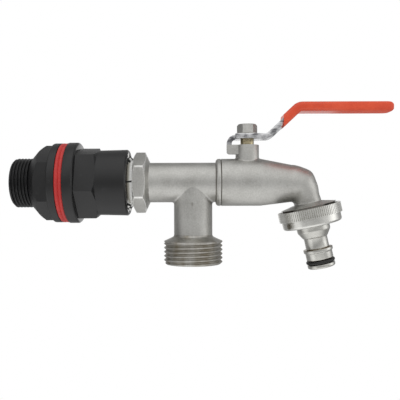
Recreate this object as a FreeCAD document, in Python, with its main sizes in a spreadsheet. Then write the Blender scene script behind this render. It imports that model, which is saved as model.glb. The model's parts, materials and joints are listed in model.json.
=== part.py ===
# Water butt tap: tank connector, tee with a lower outlet, ball tap with a lever, hose connector.
# Millimetres. X runs along the pipe from the tank to the spout and Z is up. The origin is on
# the pipe's axis, on the flange face that seals against the tank.
import FreeCAD
import Part
import Sketcher
import math
import os
import types

SIZES = {
    # Tank connector
    "spigot_radius": 13.9,
    "spigot_length": 31.3,
    "spigot_chamfer": 1.2,
    "connector_bore_radius": 9.5,
    "flange_radius": 22.8,
    "flange_thickness": 5.6,
    "flange_round": 1.2,
    "connector_flats": 36.2,
    "connector_hex_length": 11.0,
    "connector_hex_turn": 14.0,
    "connector_hex_chamfer": 1.3,
    "socket_step": 0.2,
    "socket_flare": 0.4,
    "socket_length": 16.6,
    "socket_chamfer": 0.8,
    "socket_depth": 13.7,
    "gasket_thickness": 4.4,
    "gasket_inset": 0.4,
    "gasket_round": 0.9,
    "gasket_groove_depth": 0.45,
    "gasket_groove_width": 1.2,
    "gasket_play": 0.3,
    # Lock nut
    "lock_nut_step": 4.0,
    "lock_nut_length": 15.7,
    "lock_nut_cone": 6.0,
    "lock_nut_nose_wall": 0.5,
    "lock_nut_flange_thickness": 4.4,
    "lock_nut_flange_round": 1.0,
    "lock_nut_play": 0.12,
    # Inlet tee
    "tape_thickness": 0.28,
    "tee_thread_radius": 13.22,
    "tee_thread_gap": 1.2,
    "tee_thread_chamfer": 1.2,
    "tape_gap": 3.1,
    "tee_hex_length": 7.0,
    "tee_flats": 30.0,
    "tee_hex_chamfer": 1.1,
    "tee_hex_round": 0.8,
    "tee_cone_length": 1.7,
    "tube_radius": 11.25,
    "tube_length": 38.9,
    "tee_bore_radius": 8.0,
    "branch_gap": 1.9,
    "branch_inset": 0.35,
    "branch_fillet": 1.2,
    "branch_cone_top": 29.8,
    "branch_cone_length": 3.4,
    "outlet_thread_length": 13.0,
    "branch_bore_radius": 7.6,
    "outlet_thread_radius": 16.62,
    "outlet_thread_chamfer": 1.2,
    "tee_collar_length": 3.0,
    "tee_collar_round": 1.8,
    "nose_wall": 1.7,
    "nose_play": 0.05,
    "nose_gap": 0.4,
    "joint_seal_section": 0.62,
    "joint_seal_back": 1.0,
    "joint_groove_width": 1.6,
    # Tap body
    "barrel_wall": 3.15,
    "barrel_length": 22.3,
    "seam_chamfer": 0.35,
    "stem_back": 7.2,
    "boss_radius": 6.65,
    "boss_top": 21.1,
    "boss_fillet": 0.8,
    "lug_reach": 11.75,
    "lug_bottom": 15.8,
    "lug_round": 1.6,
    "open_lug_width": 3.5,
    "shut_lug_width": 3.1,
    "corner_reach": 17.6,
    "corner_drop": 13.3,
    "corner_radius": 2.0,
    "spout_fall": 77.7,
    "elbow_start_radius": 10.6,
    "elbow_upper_radius": 9.9,
    "elbow_lower_radius": 8.6,
    "neck_radius": 7.7,
    "spout_wall": 2.3,
    "neck_length": 0.6,
    "spout_cone_length": 1.8,
    "spout_cone_radius": 15.7,
    "relief_radius": 14.9,
    "relief_length": 1.5,
    "spout_thread_length": 4.4,
    # Ball, seats and stem
    "ball_step": 0.75,
    "ball_bore_radius": 5.6,
    "ball_slot_width": 3.6,
    "ball_slot_floor": 6.6,
    "chamber_play": 0.55,
    "seat_step": 0.5,
    "seat_bore_radius": 5.8,
    "seat_inner_face": 6.0,
    "seat_outer_face": 9.3,
    "seat_play": 0.1,
    "outlet_shoulder": 0.2,
    "stem_radius": 3.8,
    "stem_play": 0.05,
    "stem_collar_radius": 5.0,
    "stem_collar_bottom": 9.5,
    "stem_collar_top": 10.9,
    "thrust_washer_thickness": 1.0,
    "collar_play": 0.2,
    "tang_play": 0.1,
    "tang_half_length": 4.0,
    "stem_groove_radius": 2.7,
    "stem_groove_width": 1.6,
    "lower_o_ring_z": 14.6,
    "upper_o_ring_z": 18.2,
    "stem_seat_z": 24.4,
    "stem_flats": 5.8,
    "stem_thread_radius": 3.0,
    "stem_top_gap": 0.2,
    # Lever
    "lever_thickness": 2.8,
    "lever_width": 14.0,
    "lever_grip_width": 10.6,
    "lever_first_bend": 11.05,
    "lever_rise": 16.65,
    "lever_angle": 43.0,
    "lever_bend_radius": 2.5,
    "lever_reach": 81.4,
    "lever_tab_back": 11.6,
    "lever_tab_bottom": 16.8,
    "lever_tab_width": 3.4,
    "lever_tab_edge": 0.2,
    "lever_waist_start": 8.2,
    "lever_waist_end": 15.0,
    "lever_curl_radius": 2.4,
    "lever_rib_depth": 1.0,
    "lever_rib_width": 6.0,
    "lever_rib_lead": 4.0,
    "lever_rib_end": 3.0,
    "stop_play": 0.3,
    "lever_nut_flats": 10.0,
    "lever_nut_height": 5.7,
    "lever_nut_flange_radius": 6.3,
    "lever_nut_flange_thickness": 1.0,
    "lever_nut_chamfer": 0.9,
    "sleeve_start": 20.1,
    "sleeve_thickness": 5.3,
    "sleeve_width": 13.6,
    "sleeve_end_wall": 1.4,
    "sleeve_round": 2.0,
    "sleeve_tip_round": 4.6,
    # Hose connector, measured along the spout from the mouth of the union nut
    "mouth_play": 0.9,
    "thread_play": 0.1,
    "nut_wall": 1.18,
    "mouth_chamfer": 0.6,
    "knurl_depth": 0.35,
    "thread_run_out": 0.5,
    "knurl_count": 96,
    "knurl_notch_share": 0.45,
    "band_step": 1.15,
    "nozzle_flange_thickness": 2.0,
    "nut_round": 1.5,
    "nut_lip": 1.25,
    "band_wall": 1.45,
    "nozzle_hole_play": 0.25,
    "washer_thickness": 2.0,
    "nozzle_flange_play": 0.3,
    "dome_radius": 9.4,
    "dome_reach": 3.15,
    "dome_length": 3.8,
    "dome_foot_radius": 7.0,
    "dome_round": 2.6,
    "nozzle_neck_radius": 6.6,
    "nozzle_neck_length": 6.4,
    "click_collar_radius": 7.6,
    "click_collar_length": 6.1,
    "bead_radius": 8.3,
    "bead_length": 1.6,
    "bead_slope": 0.7,
    "nozzle_groove_radius": 6.2,
    "ring_groove_width": 2.7,
    "tip_radius": 7.85,
    "tip_length": 2.2,
    "tip_round": 1.0,
    "nozzle_bore_radius": 4.75,
    "nozzle_ring_proud": 0.6,
}

# How close an edge has to be to the place it is looked for
SAME_PLACE = 0.02

doc = FreeCAD.newDocument("WaterButtTap")
sheet = doc.addObject("Spreadsheet::Sheet", "Sizes")
for row, (name, number) in enumerate(SIZES.items(), start=1):
    sheet.set(f"A{row}", name.replace("_", " "))
    sheet.set(f"B{row}", str(number))
    sheet.setAlias(f"B{row}", name)
doc.recompute()


class Size:
    # A number together with the expression that drives it in the document.
    def __init__(self, value, text):
        self.value = float(value)
        self.text = text

    def __add__(self, other):
        other = as_size(other)
        return Size(self.value + other.value, f"({self.text} + {other.text})")

    def __sub__(self, other):
        other = as_size(other)
        return Size(self.value - other.value, f"({self.text} - {other.text})")

    def __mul__(self, other):
        other = as_size(other)
        return Size(self.value * other.value, f"({self.text} * {other.text})")

    def __truediv__(self, other):
        other = as_size(other)
        return Size(self.value / other.value, f"({self.text} / {other.text})")

    def __neg__(self):
        return Size(-self.value, f"(0 - {self.text})")

    def __radd__(self, other):
        return as_size(other) + self

    def __rsub__(self, other):
        return as_size(other) - self

    def __rmul__(self, other):
        return as_size(other) * self


def as_size(number):
    return number if isinstance(number, Size) else Size(number, repr(float(number)))


def cosine(angle):
    angle = as_size(angle)
    return Size(math.cos(math.radians(angle.value)), f"cos({angle.text})")


def sine(angle):
    angle = as_size(angle)
    return Size(math.sin(math.radians(angle.value)), f"sin({angle.text})")


def tangent(angle):
    angle = as_size(angle)
    return Size(math.tan(math.radians(angle.value)), f"tan({angle.text})")


s = types.SimpleNamespace(**{name: Size(number, f"Sizes.{name}") for name, number in SIZES.items()})

# Places and radii that several pieces share, each worked out from what it follows
connector_hex_end = s.flange_thickness + s.connector_hex_length
socket_radius = s.connector_flats / 2 + s.socket_step
socket_mouth_radius = socket_radius + s.socket_flare
socket_end = connector_hex_end + s.socket_length
socket_floor = socket_end - s.socket_depth
gasket_radius = s.flange_radius - s.gasket_inset
lock_nut_flats = 2 * (gasket_radius - s.lock_nut_step)

tape_radius = s.tee_thread_radius + s.tape_thickness
tee_thread_start = socket_floor + s.tee_thread_gap
tee_hex_start = socket_end + s.tape_gap
tee_hex_end = tee_hex_start + s.tee_hex_length
tube_end = tee_hex_end + s.tube_length
collar_end = tube_end + s.tee_collar_length
branch_radius = s.tube_radius - s.branch_inset
branch_x = tube_end - branch_radius - s.branch_gap
branch_thread_top = s.branch_cone_top + s.branch_cone_length
branch_end = branch_thread_top + s.outlet_thread_length

seat_radius = s.tee_bore_radius + s.seat_step
ball_radius = seat_radius + s.ball_step
chamber_radius = ball_radius + s.chamber_play
nose_radius = seat_radius + s.nose_wall
barrel_radius = nose_radius + s.nose_play + s.barrel_wall
barrel_end = collar_end + s.barrel_length
stem_x = barrel_end - s.stem_back
nose_end = stem_x - s.seat_inner_face - s.nose_gap
seat_pocket_face = stem_x - s.seat_outer_face
seal_groove_end = seat_pocket_face - s.joint_seal_back
outlet_face = stem_x + s.seat_outer_face + s.outlet_shoulder

stem_bore_radius = s.stem_radius + s.stem_play
washer_top = s.stem_collar_top + s.thrust_washer_thickness
lever_top = s.stem_seat_z + s.lever_thickness
stem_top = lever_top + s.lever_nut_height - s.stem_top_gap

across = 90 - s.spout_fall
corner_x = barrel_end + s.corner_reach
neck_reach = s.corner_radius + s.neck_radius
neck_x = corner_x + neck_reach * cosine(across)
neck_z = neck_reach * sine(across) - s.corner_drop
cone_end = s.neck_length + s.spout_cone_length
thread_start = cone_end + s.relief_length
mouth_along = cone_end + s.mouth_play
mouth_x = neck_x + mouth_along * cosine(s.spout_fall)
mouth_z = neck_z - mouth_along * sine(s.spout_fall)

spout_end = s.relief_length + s.spout_thread_length - s.mouth_play
knurl_length = spout_end + s.thread_run_out
washer_end = spout_end + s.washer_thickness
lip_start = washer_end + s.nozzle_flange_thickness
nut_length = lip_start + s.nut_lip
knurl_radius = s.outlet_thread_radius + s.thread_play + s.nut_wall
band_radius = knurl_radius - s.band_step
nut_inner_radius = band_radius - s.band_wall
nozzle_flange_radius = nut_inner_radius - s.nozzle_flange_play
nozzle_hole_radius = s.dome_radius + s.nozzle_hole_play
dome_start = nut_length + s.dome_reach
dome_end = dome_start + s.dome_length
click_collar_start = dome_end + s.nozzle_neck_length
click_collar_end = click_collar_start + s.click_collar_length
tip_start = click_collar_end + s.ring_groove_width
nozzle_end = tip_start + s.tip_length


def bind(thing, path, size):
    if isinstance(size, Size):
        thing.setExpression(path, size.text)


def new_body(label):
    body = doc.addObject("PartDesign::Body", label)
    body.Label = label
    return body


def add_sketch(body, role, offset=(0, 0, 0), axis=(0, 0, 1), turn=0):
    plane = next(feature for feature in body.Origin.OriginFeatures if feature.Role == role)
    sketch = body.newObject("Sketcher::SketchObject", f"{body.Name}_sketch")
    sketch.AttachmentSupport = [(plane, "")]
    sketch.MapMode = "FlatFace"
    base = FreeCAD.Vector(*(as_size(part).value for part in offset))
    rotation = FreeCAD.Rotation(FreeCAD.Vector(*axis), as_size(turn).value)
    sketch.AttachmentOffset = FreeCAD.Placement(base, rotation)
    for letter, part in zip("xyz", offset):
        bind(sketch, f"AttachmentOffset.Base.{letter}", part)
    bind(sketch, "AttachmentOffset.Rotation.Angle", turn)
    return sketch


def draw_outline(sketch, points):
    first = sketch.GeometryCount
    corners = [FreeCAD.Vector(as_size(x).value, as_size(y).value, 0) for x, y in points]
    count = len(corners)
    for index, corner in enumerate(corners):
        sketch.addGeometry(Part.LineSegment(corner, corners[(index + 1) % count]), False)
    for index, point in enumerate(points):
        following = first + (index + 1) % count
        sketch.addConstraint(Sketcher.Constraint("Coincident", first + index, 2, following, 1))
        for kind, distance in zip(("DistanceX", "DistanceY"), point):
            value = as_size(distance).value
            number = sketch.addConstraint(Sketcher.Constraint(kind, -1, 1, first + index, 1, value))
            bind(sketch, f"Constraints[{number}]", distance)


def draw_circle(sketch, radius):
    circle = Part.Circle(FreeCAD.Vector(0, 0, 0), FreeCAD.Vector(0, 0, 1), radius.value)
    place = sketch.addGeometry(circle, False)
    sketch.addConstraint(Sketcher.Constraint("Coincident", place, 3, -1, 1))
    number = sketch.addConstraint(Sketcher.Constraint("Radius", place, radius.value))
    bind(sketch, f"Constraints[{number}]", radius)


def box_points(left, right, low, high):
    return [(left, low), (right, low), (right, high), (left, high)]


def hexagon_points(flats, turn=30):
    # Corners around the pipe; at a turn of 30 degrees a flat faces sideways.
    radius = flats / (2 * math.cos(math.radians(30)))
    return [(-radius * cosine(turn + step), -radius * sine(turn + step)) for step in range(0, 360, 60)]


def add_feature(body, kind, sketch, **settings):
    feature = body.newObject(f"PartDesign::{kind}", f"{body.Name}_{kind.lower()}")
    feature.Profile = sketch
    for setting, value in settings.items():
        if isinstance(value, Size):
            setattr(feature, setting, value.value)
            bind(feature, setting, value)
        else:
            setattr(feature, setting, value)
    doc.recompute()
    return feature


def turn_profile(body, points, kind="Revolution", axis="H_Axis", **place):
    sketch = add_sketch(body, "XZ_Plane", **place)
    draw_outline(sketch, points)
    return add_feature(body, kind, sketch, ReferenceAxis=(sketch, [axis]), Angle=360)


def extrude(body, role, points, offset, length, kind="Pad", **settings):
    sketch = add_sketch(body, role, offset)
    draw_outline(sketch, points)
    return add_feature(body, kind, sketch, Length=length, **settings)


def dress(body, kind, setting, size, wanted):
    # Rounds or chamfers the edges of the body's last feature that the test picks out.
    base = body.Tip
    names = [f"Edge{place}" for place, edge in enumerate(base.Shape.Edges, start=1) if wanted(edge)]
    if not names:
        raise RuntimeError(f"{body.Label} has no edge to dress")
    feature = body.newObject(f"PartDesign::{kind}", f"{body.Name}_{kind.lower()}")
    feature.Base = (base, names)
    setattr(feature, setting, size.value)
    bind(feature, setting, size)
    doc.recompute()
    return feature


def near(first, second):
    return abs(as_size(first).value - as_size(second).value) < SAME_PLACE


def ring_at(along, radius):
    # Picks the circle of that radius about the pipe's axis, that far along it.
    def wanted(edge):
        curve = edge.Curve
        round_edge = isinstance(curve, Part.Circle) and near(curve.Radius, radius)
        return round_edge and near(curve.Center.x, along) and near(curve.Center.z, 0)
    return wanted


def bend_at(*places):
    # Picks straight edges across the lever at the given places in its side view.
    def wanted(edge):
        ends = [vertex.Point for vertex in edge.Vertexes]
        if len(ends) != 2 or not near(ends[0].x, ends[1].x) or not near(ends[0].z, ends[1].z):
            return False
        return any(near(ends[0].x, x) and near(ends[0].z, z) for x, z in places)
    return wanted


def saddle_about(x, radius):
    # Picks the curved seam where an upright cylinder about that place meets the pipe.
    def wanted(edge):
        ends = [vertex.Point for vertex in edge.Vertexes] + [edge.CenterOfMass]
        curved = not isinstance(edge.Curve, (Part.Line, Part.Circle))
        return curved and all(abs(end.x - x.value) < radius.value + SAME_PLACE for end in ends)
    return wanted


def place_on_spout(thing, extra=0, turn=0):
    # Local X follows the spout down from the mouth of the union nut; a turn of 90 puts local Z there.
    x = mouth_x + extra * cosine(s.spout_fall)
    z = mouth_z - extra * sine(s.spout_fall)
    angle = s.spout_fall + turn
    rotation = FreeCAD.Rotation(FreeCAD.Vector(0, 1, 0), angle.value)
    thing.Placement = FreeCAD.Placement(FreeCAD.Vector(x.value, 0, z.value), rotation)
    bind(thing, "Placement.Base.x", x)
    bind(thing, "Placement.Base.z", z)
    bind(thing, "Placement.Rotation.Angle", angle)


def new_primitive(kind, label, base=(0, 0, 0), **sizes):
    thing = doc.addObject(f"Part::{kind}", label)
    thing.Placement.Base = FreeCAD.Vector(*(as_size(part).value for part in base))
    for letter, part in zip("xyz", base):
        bind(thing, f"Placement.Base.{letter}", part)
    for name, size in sizes.items():
        setattr(thing, name, as_size(size).value)
        bind(thing, name, size)
    return thing


def cut(label, base, *tools):
    for step, tool in enumerate(tools, start=1):
        result = doc.addObject("Part::Cut", label if step == len(tools) else f"{label}_cut_{step}")
        result.Base = base
        result.Tool = tool
        base = result
    doc.recompute()
    return base


def make_tank_connector_body():
    body = new_body("tank_connector_body")
    outline = [
        (-s.spigot_length, s.connector_bore_radius),
        (-s.spigot_length, s.spigot_radius - s.spigot_chamfer),
        (s.spigot_chamfer - s.spigot_length, s.spigot_radius),
        (0, s.spigot_radius),
        (0, s.flange_radius),
        (s.flange_thickness, s.flange_radius),
        (s.flange_thickness, tape_radius),
        (connector_hex_end, tape_radius),
        (connector_hex_end, socket_radius),
        (socket_end, socket_mouth_radius),
        (socket_end, tape_radius),
        (socket_floor, tape_radius),
        (socket_floor, s.connector_bore_radius),
    ]
    turn_profile(body, outline)
    dress(body, "Fillet", "Radius", s.flange_round, ring_at(s.flange_thickness, s.flange_radius))
    dress(body, "Chamfer", "Size", s.socket_chamfer, ring_at(socket_end, socket_mouth_radius))
    sketch = add_sketch(body, "YZ_Plane", (0, 0, s.flange_thickness))
    draw_outline(sketch, hexagon_points(s.connector_flats, s.connector_hex_turn))
    draw_circle(sketch, tape_radius)
    add_feature(body, "Pad", sketch, Length=connector_hex_end - s.flange_thickness)
    corner = s.connector_flats / math.sqrt(3)
    chamfered = [
        (connector_hex_end - s.connector_hex_chamfer, corner),
        (connector_hex_end, socket_radius),
        (connector_hex_end, corner),
    ]
    turn_profile(body, chamfered, "Groove")
    return body


def make_flange_gasket():
    body = new_body("flange_gasket")
    inside = s.spigot_radius + s.gasket_play
    middle = -s.gasket_thickness / 2
    half_groove = s.gasket_groove_width / 2
    outline = [
        (-s.gasket_thickness, inside),
        (-s.gasket_thickness, gasket_radius),
        (middle - half_groove, gasket_radius),
        (middle, gasket_radius - s.gasket_groove_depth),
        (middle + half_groove, gasket_radius),
        (0, gasket_radius),
        (0, inside),
    ]
    turn_profile(body, outline)
    rims = (ring_at(0, gasket_radius), ring_at(-s.gasket_thickness, gasket_radius))
    dress(body, "Fillet", "Radius", s.gasket_round, lambda edge: any(rim(edge) for rim in rims))
    return body


def make_lock_nut():
    body = new_body("lock_nut")
    face = -s.gasket_thickness
    start = face - s.lock_nut_length
    flange = face - s.lock_nut_flange_thickness
    bore = s.spigot_radius + s.lock_nut_play
    nose = bore + s.lock_nut_nose_wall
    corner = lock_nut_flats / math.sqrt(3)
    turn_profile(body, box_points(flange, face, bore, gasket_radius))
    dress(body, "Fillet", "Radius", s.lock_nut_flange_round, ring_at(flange, gasket_radius))
    sketch = add_sketch(body, "YZ_Plane", (0, 0, start))
    draw_outline(sketch, hexagon_points(lock_nut_flats))
    draw_circle(sketch, bore)
    add_feature(body, "Pad", sketch, Length=flange - start)
    outside = [(start, nose), (start + s.lock_nut_cone, corner), (start, corner)]
    turn_profile(body, outside, "Groove")
    return body


def make_thread_seal_tape():
    body = new_body("thread_seal_tape")
    start = tee_thread_start + s.tee_thread_chamfer
    turn_profile(body, box_points(start, tee_hex_start, s.tee_thread_radius, tape_radius))
    return body


def lengthwise_at(edge, radius):
    # Straight edges along the pipe at a distance from its axis
    ends = [vertex.Point for vertex in edge.Vertexes]
    if len(ends) != 2 or near(ends[0].x, ends[1].x) or not near(ends[0].y, ends[1].y):
        return False
    return near(ends[0].z, ends[1].z) and near(math.hypot(ends[0].y, ends[0].z), radius)


def make_inlet_tee():
    body = new_body("inlet_tee")
    groove_start = seal_groove_end - s.joint_groove_width
    groove_floor = nose_radius - 2 * s.joint_seal_section + s.nose_play
    cone_start = tee_hex_end - s.tee_hex_chamfer
    flat = s.tee_flats / 2
    corner = s.tee_flats / math.sqrt(3)
    outline = [
        (tee_thread_start, 0),
        (tee_thread_start, s.tee_thread_radius - s.tee_thread_chamfer),
        (tee_thread_start + s.tee_thread_chamfer, s.tee_thread_radius),
        (tee_hex_start, s.tee_thread_radius),
        (tee_hex_end, flat),
        (tee_hex_end + s.tee_cone_length, s.tube_radius),
        (tube_end, s.tube_radius),
        (tube_end, barrel_radius),
        (collar_end - s.seam_chamfer, barrel_radius),
        (collar_end, barrel_radius - s.seam_chamfer),
        (collar_end, nose_radius),
        (groove_start, nose_radius),
        (groove_start, groove_floor),
        (seal_groove_end, groove_floor),
        (seal_groove_end, nose_radius),
        (nose_end, nose_radius),
        (nose_end, 0),
    ]
    turn_profile(body, outline)
    dress(body, "Fillet", "Radius", s.tee_collar_round, ring_at(tube_end, barrel_radius))
    branch = [
        (0, 0),
        (branch_radius, 0),
        (branch_radius, -s.branch_cone_top),
        (s.outlet_thread_radius, -branch_thread_top),
        (s.outlet_thread_radius, s.outlet_thread_chamfer - branch_end),
        (s.outlet_thread_radius - s.outlet_thread_chamfer, -branch_end),
        (0, -branch_end),
    ]
    turn_profile(body, branch, axis="V_Axis", offset=(branch_x, 0, 0))
    dress(body, "Fillet", "Radius", s.branch_fillet, saddle_about(branch_x, branch_radius))
    extrude(body, "YZ_Plane", hexagon_points(s.tee_flats), (0, 0, tee_hex_start), s.tee_hex_length)
    dress(body, "Fillet", "Radius", s.tee_hex_round, lambda edge: lengthwise_at(edge, corner))
    left = [(tee_hex_start, flat), (tee_hex_start + s.tee_hex_chamfer, corner), (tee_hex_start, corner)]
    right = [(cone_start, corner), (tee_hex_end, flat), (tee_hex_end, corner)]
    turn_profile(body, left, "Groove")
    turn_profile(body, right, "Groove")
    waterway = [
        (tee_thread_start, 0),
        (tee_thread_start, s.tee_bore_radius),
        (seat_pocket_face, s.tee_bore_radius),
        (seat_pocket_face, seat_radius),
        (nose_end, seat_radius),
        (nose_end, 0),
    ]
    turn_profile(body, waterway, "Groove")
    outlet = box_points(0, s.branch_bore_radius, -branch_end, 0)
    turn_profile(body, outlet, "Groove", axis="V_Axis", offset=(branch_x, 0, 0))
    return body


def elbow_section(turn, radius, wall):
    # Sections fan about the inner corner; the wall moves both sides of a section inwards.
    reach = s.corner_radius + radius
    x = corner_x + reach * cosine(turn)
    z = reach * sine(turn) - s.corner_drop
    return x, z, 90 - turn, radius - wall


def elbow_sections(wall):
    step = (90 - across) / 3
    return [
        elbow_section(as_size(90), s.elbow_start_radius, wall),
        elbow_section(90 - step, s.elbow_upper_radius, wall),
        elbow_section(across + step, s.elbow_lower_radius, wall),
        elbow_section(across, s.neck_radius, wall),
    ]


def loft(body, kind, sections, ruled=False):
    sketches = []
    for x, z, turn, radius in sections:
        sketch = add_sketch(body, "YZ_Plane", (0, z, x), axis=(1, 0, 0), turn=turn)
        draw_circle(sketch, as_size(radius))
        sketches.append(sketch)
    return add_feature(body, kind, sketches[0], Sections=sketches[1:], Ruled=ruled)


def make_tap_body():
    body = new_body("tap_body")
    seam = s.seam_chamfer
    # Drawn below the axis, so that no seam of the barrel runs under the boss.
    barrel = [
        (collar_end, 0),
        (collar_end, seam - barrel_radius),
        (collar_end + seam, -barrel_radius),
        (barrel_end, -barrel_radius),
        (barrel_end, 0),
    ]
    turn_profile(body, barrel)
    boss = add_sketch(body, "XY_Plane", (stem_x, 0, 0))
    draw_circle(boss, s.boss_radius)
    add_feature(body, "Pad", boss, Length=s.boss_top)
    dress(body, "Fillet", "Radius", s.boss_fillet, saddle_about(stem_x, s.boss_radius))
    elbow = elbow_sections(0)
    loft(body, "AdditiveLoft", [(barrel_end, 0, 0, barrel_radius), elbow[0]], ruled=True)
    loft(body, "AdditiveLoft", elbow)
    spout_place = {"offset": (neck_x, neck_z, 0), "turn": -s.spout_fall}
    end = thread_start + s.spout_thread_length
    spout = [
        (0, 0),
        (0, s.neck_radius),
        (s.neck_length, s.neck_radius),
        (cone_end, s.spout_cone_radius),
        (cone_end, s.relief_radius),
        (thread_start, s.relief_radius),
        (thread_start, s.outlet_thread_radius),
        (end, s.outlet_thread_radius),
        (end, 0),
    ]
    turn_profile(body, spout, **spout_place)
    lug_height = s.boss_top - s.lug_bottom
    open_edge = -s.lever_tab_edge - s.stop_play
    open_lug = box_points(stem_x - s.lug_reach, stem_x, open_edge - s.open_lug_width, open_edge)
    extrude(body, "XY_Plane", open_lug, (0, 0, s.lug_bottom), lug_height)
    shut_edge = stem_x + s.lever_tab_width - s.lever_tab_edge + s.stop_play
    shut_lug = box_points(shut_edge, shut_edge + s.shut_lug_width, 0, s.lug_reach)
    extrude(body, "XY_Plane", shut_lug, (0, 0, s.lug_bottom), lug_height)
    dress(body, "Fillet", "Radius", s.lug_round, lug_corner)
    bore = [
        (collar_end, 0),
        (collar_end, nose_radius + s.nose_play),
        (nose_end + s.nose_gap, nose_radius + s.nose_play),
        (nose_end + s.nose_gap, chamber_radius),
        (stem_x + s.seat_inner_face, chamber_radius),
        (stem_x + s.seat_inner_face, seat_radius),
        (stem_x + s.seat_outer_face, seat_radius),
        (stem_x + s.seat_outer_face, s.seat_bore_radius),
        (outlet_face, s.seat_bore_radius),
        (outlet_face, 0),
    ]
    turn_profile(body, bore, "Groove")
    hollow = elbow_sections(s.spout_wall)
    hollow_start = (outlet_face, 0, 0, s.seat_bore_radius)
    loft(body, "SubtractiveLoft", [hollow_start, hollow[0]], ruled=True)
    loft(body, "SubtractiveLoft", hollow)
    turn_profile(body, box_points(0, end, 0, s.neck_radius - s.spout_wall), "Groove", **spout_place)
    recess = s.stem_collar_radius + s.collar_play
    stem_bore = [
        (0, 0),
        (recess, 0),
        (recess, washer_top),
        (stem_bore_radius, washer_top),
        (stem_bore_radius, s.boss_top),
        (0, s.boss_top),
    ]
    turn_profile(body, stem_bore, "Groove", axis="V_Axis", offset=(stem_x, 0, 0))
    return body


def lug_corner(edge):
    # The lower outer edge of each stop lug.
    ends = [vertex.Point for vertex in edge.Vertexes]
    if len(ends) != 2 or not all(near(end.z, s.lug_bottom) for end in ends):
        return False
    open_side = all(near(end.x, stem_x - s.lug_reach) for end in ends)
    shut_side = all(near(end.y, s.lug_reach) for end in ends)
    return open_side or shut_side


def make_joint_seal():
    middle = seal_groove_end - s.joint_groove_width / 2
    ring_radius = nose_radius + s.nose_play - s.joint_seal_section
    seal = new_primitive("Torus", "body_joint_seal", (middle, 0, 0), Radius1=ring_radius,
                         Radius2=s.joint_seal_section)
    seal.Placement.Rotation = FreeCAD.Rotation(FreeCAD.Vector(0, 1, 0), 90)
    return seal


def make_ball_seat(label, side):
    ring = new_body(f"{label}_ring")
    inner = stem_x + side * s.seat_inner_face
    outer = stem_x + side * s.seat_outer_face
    turn_profile(ring, box_points(inner, outer, s.seat_bore_radius, seat_radius))
    hollow = new_primitive("Sphere", f"{label}_hollow", (stem_x, 0, 0), Radius=ball_radius + s.seat_play)
    return cut(label, ring, hollow)


def make_ball():
    sphere = new_primitive("Sphere", "ball_sphere", (stem_x, 0, 0), Radius=ball_radius)
    reach = 2 * ball_radius
    bore = new_primitive("Cylinder", "ball_bore", (stem_x - reach, 0, 0), Radius=s.ball_bore_radius,
                         Height=2 * reach)
    bore.Placement.Rotation = FreeCAD.Rotation(FreeCAD.Vector(0, 1, 0), 90)
    slot_base = (stem_x - s.ball_slot_width / 2, -reach, s.ball_slot_floor)
    slot = new_primitive("Box", "ball_slot", slot_base, Length=s.ball_slot_width, Width=2 * reach,
                         Height=reach)
    return cut("ball", sphere, bore, slot)


def make_stem():
    body = new_body("stem")
    groove_half = s.stem_groove_width / 2
    profile = [
        (0, s.stem_collar_bottom),
        (s.stem_collar_radius, s.stem_collar_bottom),
        (s.stem_collar_radius, s.stem_collar_top),
        (s.stem_radius, s.stem_collar_top),
    ]
    for middle in (s.lower_o_ring_z, s.upper_o_ring_z):
        profile += [
            (s.stem_radius, middle - groove_half),
            (s.stem_groove_radius, middle - groove_half),
            (s.stem_groove_radius, middle + groove_half),
            (s.stem_radius, middle + groove_half),
        ]
    profile += [
        (s.stem_radius, lever_top),
        (s.stem_thread_radius, lever_top),
        (s.stem_thread_radius, stem_top),
        (0, stem_top),
    ]
    turn_profile(body, profile, axis="V_Axis", offset=(stem_x, 0, 0))
    half = s.ball_slot_width / 2 - s.tang_play
    tang = box_points(stem_x - half, stem_x + half, -s.tang_half_length, s.tang_half_length)
    tang_bottom = s.ball_slot_floor + s.tang_play
    extrude(body, "XY_Plane", tang, (0, 0, tang_bottom), s.stem_collar_bottom - tang_bottom)
    for side in (-1, 1):
        flat = box_points(stem_x - s.stem_radius, stem_x + s.stem_radius,
                          side * s.stem_flats / 2, side * s.stem_radius)
        extrude(body, "XY_Plane", flat, (0, 0, lever_top), s.lever_thickness, "Pocket")
    return body


def make_stem_seals():
    washer = new_body("stem_thrust_washer")
    ring = box_points(stem_bore_radius, s.stem_collar_radius, s.stem_collar_top, washer_top)
    turn_profile(washer, ring, axis="V_Axis", offset=(stem_x, 0, 0))
    section = (stem_bore_radius - s.stem_groove_radius) / 2 - s.stem_play / 4
    seals = [washer]
    for label, height in (("stem_o_ring_lower", s.lower_o_ring_z), ("stem_o_ring_upper", s.upper_o_ring_z)):
        seals.append(new_primitive("Torus", label, (stem_x, 0, height),
                                   Radius1=s.stem_groove_radius + section, Radius2=section))
    return seals


def bend_places(half):
    # Corners of the lever's two bends in the side view, on the face that far above its middle.
    slant = half * tangent(s.lever_angle / 2)
    middle = s.stem_seat_z + s.lever_thickness / 2
    run = s.lever_rise / tangent(s.lever_angle)
    first = (stem_x + s.lever_first_bend - slant, middle + half)
    second = (stem_x + s.lever_first_bend + run - slant, middle + s.lever_rise + half)
    return first, second


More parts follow.
